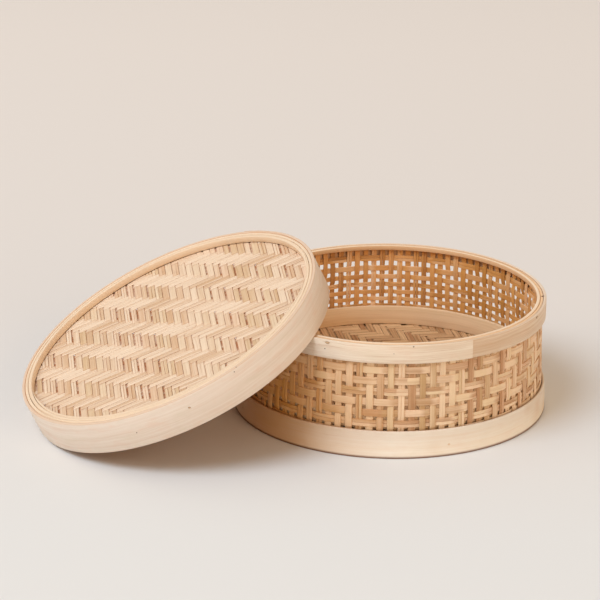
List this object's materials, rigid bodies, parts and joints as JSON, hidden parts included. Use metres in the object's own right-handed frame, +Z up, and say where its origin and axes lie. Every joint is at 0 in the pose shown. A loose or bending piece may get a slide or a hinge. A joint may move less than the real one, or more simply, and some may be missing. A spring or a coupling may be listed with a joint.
{
  "type": "bamboo food basket",
  "caption": "Round bamboo food basket with an open woven wall, a mat floor and a deep woven lid that leans on its rim.",
  "frame": {"origin": "on the ground, below the middle of the basket and its leaning lid together", "axes": "+X to the right with the lid at -X, +Y away from the viewer, +Z up"},
  "size_m": [0.4323, 0.3099, 0.1404],
  "materials": {
    "hoop_bamboo": "smooth split bamboo, satin",
    "inner_hoop_bamboo": "split bamboo, matt",
    "woven_bamboo": "split bamboo strips, satin",
    "mat_bamboo": "woven bamboo strips, satin",
    "peg_bamboo": "cut end grain, matt"
  },
  "bodies": {
    "basket": {"base_outer_hoop": "hoop_bamboo", "rim_outer_hoop": "hoop_bamboo", "rim_inner_hoop": "inner_hoop_bamboo", "base_inner_hoop": "hoop_bamboo", "base_support_hoop": "inner_hoop_bamboo", "woven_wall": "woven_bamboo", "floor_mat": "mat_bamboo", "floor_slat_1": "woven_bamboo", "floor_slat_2": "woven_bamboo", "floor_slat_3": "woven_bamboo", "rim_peg_1": "peg_bamboo", "rim_peg_2": "peg_bamboo", "rim_peg_3": "peg_bamboo", "rim_peg_4": "peg_bamboo", "base_peg_1": "peg_bamboo", "base_peg_2": "peg_bamboo", "base_peg_3": "peg_bamboo", "base_peg_4": "peg_bamboo"},
    "lid": {"lid_outer_hoop": "hoop_bamboo", "lid_inner_hoop": "hoop_bamboo", "lid_mat": "mat_bamboo", "lid_under_hoop": "inner_hoop_bamboo", "lid_peg_1": "peg_bamboo", "lid_peg_2": "peg_bamboo", "lid_peg_3": "peg_bamboo", "lid_peg_4": "peg_bamboo"}
  },
  "joints": [
    {"name": "lid_lift", "type": "slide", "parent": "basket", "child": "lid", "axis": [0, 0, 1], "range_m": [0, 0.15]}
  ]
}
